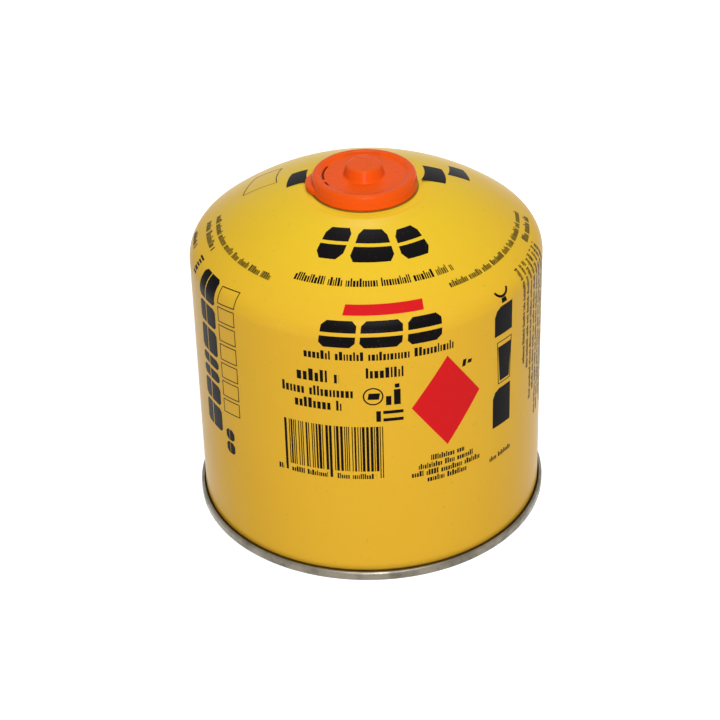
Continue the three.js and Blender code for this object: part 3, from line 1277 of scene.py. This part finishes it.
stageLook = {
    "floorColour": colour(0.72, 0.72, 0.72),
    "floorLift": 0.76,
    "floorSide": 8,
    "floorDrop": 0.02 * mm,
    "ambient": 0.17,
}
lampLooks = {
    "softKey": {"power": 25.4, "size": 0.9, "distance": 2.0, "azimuth": 6, "elevation": 52},
    "lowFront": {"power": 5.2, "size": 0.16, "distance": 1.5, "azimuth": 1, "elevation": 14},
    "highBack": {"power": 4.6, "size": 0.16, "distance": 1.5, "azimuth": 180, "elevation": 59},
}


def seenDirectly(maker):
    # 1 for rays from the camera, off a shiny face or through a clear one, 0 for all others
    camera, glossy, through = (
        maker.add("ShaderNodeLightPath", output=f"Is {kind} Ray")
        for kind in ("Camera", "Glossy", "Transmission")
    )
    return camera.math("MAXIMUM", glossy).math("MAXIMUM", through)


def makeStage(look):
    material, maker = newMaterial("paleFloor")
    plain = maker.add("ShaderNodeBsdfDiffuse", {"Color": look["floorColour"]})
    glow = maker.add("ShaderNodeEmission", {"Strength": seenDirectly(maker) * look["floorLift"]})
    both = maker.add("ShaderNodeAddShader", {0: plain, 1: glow})
    maker.add("ShaderNodeOutputMaterial", {"Surface": both})
    mesh = bpy.data.meshes.new("floor")
    half = look["floorSide"] / 2
    corners = [(-half, -half), (half, -half), (half, half), (-half, half)]
    mesh.from_pydata([(x, y, -look["floorDrop"]) for x, y in corners], [], [(0, 1, 2, 3)])
    mesh.materials.append(material)
    floor = addObject("floor", mesh)

    world = bpy.data.worlds.new("studio")
    bpy.context.scene.world = world
    maker = emptyNodes(world)
    strength = look["ambient"] + seenDirectly(maker) * (1 - look["ambient"])
    background = maker.add("ShaderNodeBackground", {"Color": colour(1, 1, 1), "Strength": strength})
    maker.add("ShaderNodeOutputWorld", {"Surface": background})


def makeLamp(name, look):
    light = bpy.data.lights.new(name, "AREA")
    light.shape = "DISK"
    light.size = look["size"]
    light.energy = look["power"]
    lamp = addObject(name, light)
    azimuth, rise = math.radians(look["azimuth"]), math.radians(look["elevation"])
    away = Vector((
        math.cos(rise) * math.sin(azimuth),
        -math.cos(rise) * math.cos(azimuth),
        math.sin(rise),
    ))
    lamp.location = Vector((0, 0, cameraView["aimHeight"])) + away * look["distance"]
    lamp.rotation_euler = away.to_track_quat("Z", "Y").to_euler()


# Making

def seat(piece, node):
    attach(piece, "root")
    if node:
        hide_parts(node)


bpy.context.scene.view_settings.view_transform = "Standard"
setCamera(cameraView)
makeStage(stageLook)
for name, look in lampLooks.items():
    makeLamp(name, look)
print("camera and stage made")

lathe = latheTree()
canBody = turnPiece("canBody", bodyOutline(), bodySizes["segments"], paintMaterial(paintLook))
seat(canBody, "can_body")
bareTin = tinMaterial("bareTinplate", tinLook)
baseEnd = turnPiece("baseEnd", endOutline(), bodySizes["segments"], bareTin)
seat(baseEnd, "base_end")
thread = (
    cupSizes["threadPitch"],
    cupSizes["threadDepth"],
    place["cupFloor"] + cupSizes["pedestalRoot"],
    place["pedestalTop"] - cupSizes["pedestalNose"],
)
valveTin = tinMaterial("valveTinplate", tinLook)
valveCup = turnPiece("valveCup", cupOutline(), cupSizes["segments"], valveTin, thread)
seat(valveCup, "valve_cup")
print("turned pieces made")

capShell = makeCap(capMaterial(capLook))
seat(capShell, "cap")
print("cap made")

for node, material in (
    ("valve_seal", plainMaterial("blackRubber", (0.02, 0.02, 0.02), 0.7)),
    ("valve_core", plainMaterial("palePlastic", (0.72, 0.70, 0.63), 0.45)),
):
    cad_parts[node].data.materials.clear()
    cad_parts[node].data.materials.append(material)
print("valve finished")

wrap = wrapTree()
blackInk = inkMaterial("blackInk", inkLook["black"], inkLook)
blackPrint = layPrint("blackPrint", blackShapes(), blackInk)
seat(blackPrint, None)
redPrint = layPrint("redPrint", redShapes(), inkMaterial("redInk", inkLook["red"], inkLook))
seat(redPrint, None)
print("print laid on")
